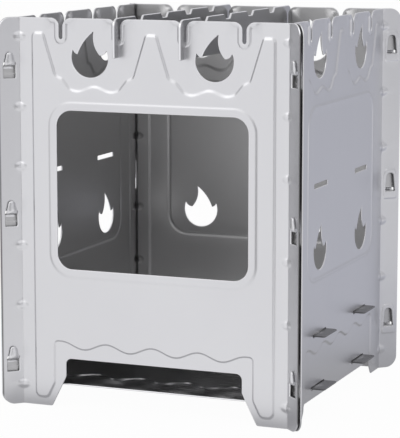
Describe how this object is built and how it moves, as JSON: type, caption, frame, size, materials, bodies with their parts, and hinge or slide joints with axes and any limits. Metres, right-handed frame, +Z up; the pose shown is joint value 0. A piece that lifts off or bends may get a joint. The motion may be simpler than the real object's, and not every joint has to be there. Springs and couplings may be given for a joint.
{
  "type": "backpacking wood stove",
  "caption": "Flat-pack backpacking wood stove of stamped steel sheet: hooked panels with a fuel window and ash arch, a grate, an ash tray and lift-out toothed pot bars.",
  "frame": {"origin": "on the ground under the middle of the stove", "axes": "+Z up, -Y out of the front panel with the fuel window, +X to the right seen from the front"},
  "size_m": [0.1644, 0.1644, 0.2006],
  "materials": {
    "panel_steel": "satin stamped stainless sheet",
    "plate_steel": "satin stainless sheet, duller inside the stove",
    "bar_steel": "satin stainless strip"
  },
  "bodies": {
    "frame": {"left_panel": "panel_steel", "right_panel": "panel_steel", "fire_grate": "plate_steel", "ash_tray": "plate_steel"},
    "front_panel": {"front_panel": "panel_steel"},
    "back_panel": {"back_panel": "panel_steel"},
    "pot_bar_left": {"pot_bar_left": "bar_steel"},
    "pot_bar_right": {"pot_bar_right": "bar_steel"}
  },
  "joints": [
    {"name": "front_panel_lift", "type": "slide", "parent": "frame", "child": "front_panel", "axis": [0, 0, 1], "range_m": [0, 0.0056]},
    {"name": "back_panel_lift", "type": "slide", "parent": "frame", "child": "back_panel", "axis": [0, 0, 1], "range_m": [0, 0.0056]},
    {"name": "pot_bar_left_lift", "type": "slide", "parent": "front_panel", "child": "pot_bar_left", "axis": [0, 0, 1], "range_m": [0, 0.024]},
    {"name": "pot_bar_right_lift", "type": "slide", "parent": "front_panel", "child": "pot_bar_right", "axis": [0, 0, 1], "range_m": [0, 0.024]}
  ],
  "couplings": [
    {"joint": "back_panel_lift", "follows": "front_panel_lift", "ratio": 1}
  ]
}
